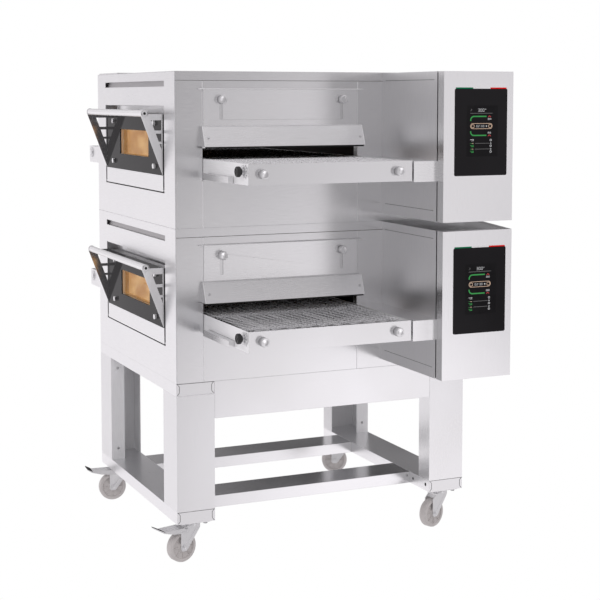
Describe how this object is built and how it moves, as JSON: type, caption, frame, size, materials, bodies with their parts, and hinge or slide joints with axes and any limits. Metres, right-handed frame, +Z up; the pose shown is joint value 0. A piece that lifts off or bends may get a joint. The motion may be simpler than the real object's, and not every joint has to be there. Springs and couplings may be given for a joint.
{
  "type": "conveyor pizza oven",
  "caption": "Stacked stainless conveyor pizza oven on a castor stand, with wire belts through each deck, glazed drop-down side doors, sliding hoods and touch control boxes.",
  "frame": {"origin": "on the floor, at the centre of the overall footprint", "axes": "+Z up; +Y along the conveyors, from the control end to the back; +X across them, from the door side to the technical side"},
  "size_m": [1.136, 1.766, 1.599],
  "materials": {
    "stainless": "fine brushed stainless steel sheet",
    "polished_steel": "bright turned or polished stainless steel",
    "zinc_plated_steel": "zinc-plated pressed steel",
    "heat_tinted_steel": "dark, heat-tinted steel",
    "belt_wire": "drawn stainless wire",
    "mineral_wool": "matt mineral wool board",
    "smoked_glass": "smoked, mirror-like tempered glass",
    "touch_glass": "gloss black display glass",
    "black_plastic": "matt black moulded plastic",
    "grey_wheel_plastic": "grey moulded polyamide",
    "grey_enamel": "satin grey enamel",
    "galvanised_plate": "galvanised plate"
  },
  "bodies": {
    "oven_frame": {"stand_posts": "stainless", "stand_side_rails": "stainless", "stand_aprons": "stainless", "lower_crossbars": "stainless", "castor_top_plates": "zinc_plated_steel", "left_side_panels": "stainless", "right_side_panels": "stainless", "top_panels": "stainless", "base_pans": "stainless", "front_panels": "stainless", "back_panels": "stainless", "cable_glands": "black_plastic", "chamber_liners": "heat_tinted_steel", "insulation_blocks": "mineral_wool", "heating_elements": "heat_tinted_steel", "conveyor_frames": "stainless", "conveyor_belts": "belt_wire", "shaft_bearings": "polished_steel", "clamp_screws": "polished_steel", "drive_covers": "stainless", "drive_motors": "grey_enamel", "control_boxes": "stainless", "control_boards": "galvanised_plate", "door_hinge_pins": "polished_steel"},
    "upper_door": {"upper_door_panel": "stainless", "upper_door_glass": "smoked_glass", "upper_door_handle": "polished_steel"},
    "upper_front_shutter": {"upper_front_shutter": "stainless"},
    "upper_rear_shutter": {"upper_rear_shutter": "stainless"},
    "upper_left_shutter_knob": {"upper_left_shutter_knob": "polished_steel"},
    "upper_right_shutter_knob": {"upper_right_shutter_knob": "polished_steel"},
    "upper_drive_shaft": {"upper_drive_shaft": "polished_steel", "upper_shaft_knob": "black_plastic"},
    "upper_idler_shaft": {"upper_idler_shaft": "polished_steel"},
    "upper_crumb_tray": {"upper_crumb_tray": "stainless"},
    "upper_control_cover": {"upper_control_cover": "stainless", "upper_touch_panel": "touch_glass"},
    "lower_door": {"lower_door_panel": "stainless", "lower_door_glass": "smoked_glass", "lower_door_handle": "polished_steel"},
    "lower_front_shutter": {"lower_front_shutter": "stainless"},
    "lower_rear_shutter": {"lower_rear_shutter": "stainless"},
    "lower_left_shutter_knob": {"lower_left_shutter_knob": "polished_steel"},
    "lower_right_shutter_knob": {"lower_right_shutter_knob": "polished_steel"},
    "lower_drive_shaft": {"lower_drive_shaft": "polished_steel", "lower_shaft_knob": "black_plastic"},
    "lower_idler_shaft": {"lower_idler_shaft": "polished_steel"},
    "lower_crumb_tray": {"lower_crumb_tray": "stainless"},
    "lower_control_cover": {"lower_control_cover": "stainless", "lower_touch_panel": "touch_glass"},
    "front_left_castor": {"front_left_castor_fork": "zinc_plated_steel"},
    "front_left_wheel": {"front_left_castor_wheel": "grey_wheel_plastic"},
    "front_left_pedal": {"front_left_brake_pedal": "zinc_plated_steel"},
    "back_left_castor": {"back_left_castor_fork": "zinc_plated_steel"},
    "back_left_wheel": {"back_left_castor_wheel": "grey_wheel_plastic"},
    "back_left_pedal": {"back_left_brake_pedal": "zinc_plated_steel"},
    "front_right_castor": {"front_right_castor_fork": "zinc_plated_steel"},
    "front_right_wheel": {"front_right_castor_wheel": "grey_wheel_plastic"},
    "back_right_castor": {"back_right_castor_fork": "zinc_plated_steel"},
    "back_right_wheel": {"back_right_castor_wheel": "grey_wheel_plastic"}
  },
  "joints": [
    {"name": "upper_door_hinge", "type": "hinge", "parent": "oven_frame", "child": "upper_door", "pos_m": [-0.489, -0.032, 1.21], "axis": [0, -1, 0], "range_deg": [0, 90]},
    {"name": "upper_front_shutter_slide", "type": "slide", "parent": "oven_frame", "child": "upper_front_shutter", "axis": [0, 0, 1], "range_m": [0, 0.05]},
    {"name": "upper_rear_shutter_slide", "type": "slide", "parent": "oven_frame", "child": "upper_rear_shutter", "axis": [0, 0, 1], "range_m": [0, 0.05]},
    {"name": "upper_left_shutter_knob_turn", "type": "hinge", "parent": "oven_frame", "child": "upper_left_shutter_knob", "pos_m": [-0.3375, -0.479, 1.505], "axis": [0, 1, 0], "range_deg": [0, 360]},
    {"name": "upper_right_shutter_knob_turn", "type": "hinge", "parent": "oven_frame", "child": "upper_right_shutter_knob", "pos_m": [0.091, -0.479, 1.505], "axis": [0, 1, 0], "range_deg": [0, 360]},
    {"name": "upper_drive_shaft_turn", "type": "hinge", "parent": "oven_frame", "child": "upper_drive_shaft", "pos_m": [-0.124, -0.815, 1.292], "axis": [1, 0, 0], "continuous": true},
    {"name": "upper_idler_shaft_turn", "type": "hinge", "parent": "oven_frame", "child": "upper_idler_shaft", "pos_m": [-0.124, 0.822, 1.292], "axis": [1, 0, 0], "continuous": true},
    {"name": "upper_crumb_tray_slide", "type": "slide", "parent": "oven_frame", "child": "upper_crumb_tray", "axis": [-1, 0, 0], "range_m": [0, 0.5]},
    {"name": "upper_control_cover_hinge", "type": "hinge", "parent": "oven_frame", "child": "upper_control_cover", "pos_m": [0.5105, -0.845, 1.357], "axis": [0, 0, 1], "range_deg": [0, 100]},
    {"name": "lower_door_hinge", "type": "hinge", "parent": "oven_frame", "child": "lower_door", "pos_m": [-0.489, -0.032, 0.71], "axis": [0, -1, 0], "range_deg": [0, 90]},
    {"name": "lower_front_shutter_slide", "type": "slide", "parent": "oven_frame", "child": "lower_front_shutter", "axis": [0, 0, 1], "range_m": [0, 0.05]},
    {"name": "lower_rear_shutter_slide", "type": "slide", "parent": "oven_frame", "child": "lower_rear_shutter", "axis": [0, 0, 1], "range_m": [0, 0.05]},
    {"name": "lower_left_shutter_knob_turn", "type": "hinge", "parent": "oven_frame", "child": "lower_left_shutter_knob", "pos_m": [-0.3375, -0.479, 1.005], "axis": [0, 1, 0], "range_deg": [0, 360]},
    {"name": "lower_right_shutter_knob_turn", "type": "hinge", "parent": "oven_frame", "child": "lower_right_shutter_knob", "pos_m": [0.091, -0.479, 1.005], "axis": [0, 1, 0], "range_deg": [0, 360]},
    {"name": "lower_drive_shaft_turn", "type": "hinge", "parent": "oven_frame", "child": "lower_drive_shaft", "pos_m": [-0.124, -0.815, 0.792], "axis": [1, 0, 0], "continuous": true},
    {"name": "lower_idler_shaft_turn", "type": "hinge", "parent": "oven_frame", "child": "lower_idler_shaft", "pos_m": [-0.124, 0.822, 0.792], "axis": [1, 0, 0], "continuous": true},
    {"name": "lower_crumb_tray_slide", "type": "slide", "parent": "oven_frame", "child": "lower_crumb_tray", "axis": [-1, 0, 0], "range_m": [0, 0.5]},
    {"name": "lower_control_cover_hinge", "type": "hinge", "parent": "oven_frame", "child": "lower_control_cover", "pos_m": [0.5105, -0.845, 0.857], "axis": [0, 0, 1], "range_deg": [0, 100]},
    {"name": "front_left_castor_swivel", "type": "hinge", "parent": "oven_frame", "child": "front_left_castor", "pos_m": [-0.428, -0.419, 0.12], "axis": [0, 0, 1], "continuous": true},
    {"name": "front_left_wheel_spin", "type": "hinge", "parent": "front_left_castor", "child": "front_left_wheel", "pos_m": [-0.46664, -0.42935, 0.05], "axis": [-0.2588, 0.9659, 0], "continuous": true},
    {"name": "front_left_brake_pedal_press", "type": "hinge", "parent": "front_left_castor", "child": "front_left_pedal", "pos_m": [-0.46084, -0.4278, 0.108], "axis": [0.2588, -0.9659, 0], "range_deg": [0, 12]},
    {"name": "back_left_castor_swivel", "type": "hinge", "parent": "oven_frame", "child": "back_left_castor", "pos_m": [-0.428, 0.35, 0.12], "axis": [0, 0, 1], "continuous": true},
    {"name": "back_left_wheel_spin", "type": "hinge", "parent": "back_left_castor", "child": "back_left_wheel", "pos_m": [-0.46785, 0.35349, 0.05], "axis": [0.0872, 0.9962, 0], "continuous": true},
    {"name": "back_left_brake_pedal_press", "type": "hinge", "parent": "back_left_castor", "child": "back_left_pedal", "pos_m": [-0.46187, 0.35296, 0.108], "axis": [-0.0872, -0.9962, 0], "range_deg": [0, 12]},
    {"name": "front_right_castor_swivel", "type": "hinge", "parent": "oven_frame", "child": "front_right_castor", "pos_m": [0.503, -0.419, 0.12], "axis": [0, 0, 1], "continuous": true},
    {"name": "front_right_wheel_spin", "type": "hinge", "parent": "front_right_castor", "child": "front_right_wheel", "pos_m": [0.46541, -0.43268, 0.05], "axis": [-0.342, 0.9397, 0], "continuous": true},
    {"name": "back_right_castor_swivel", "type": "hinge", "parent": "oven_frame", "child": "back_right_castor", "pos_m": [0.503, 0.35, 0.12], "axis": [0, 0, 1], "continuous": true},
    {"name": "back_right_wheel_spin", "type": "hinge", "parent": "back_right_castor", "child": "back_right_wheel", "pos_m": [0.46541, 0.36368, 0.05], "axis": [0.342, 0.9397, 0], "continuous": true}
  ],
  "couplings": [
    {"joint": "upper_idler_shaft_turn", "follows": "upper_drive_shaft_turn", "ratio": 1},
    {"joint": "lower_idler_shaft_turn", "follows": "lower_drive_shaft_turn", "ratio": 1}
  ]
}
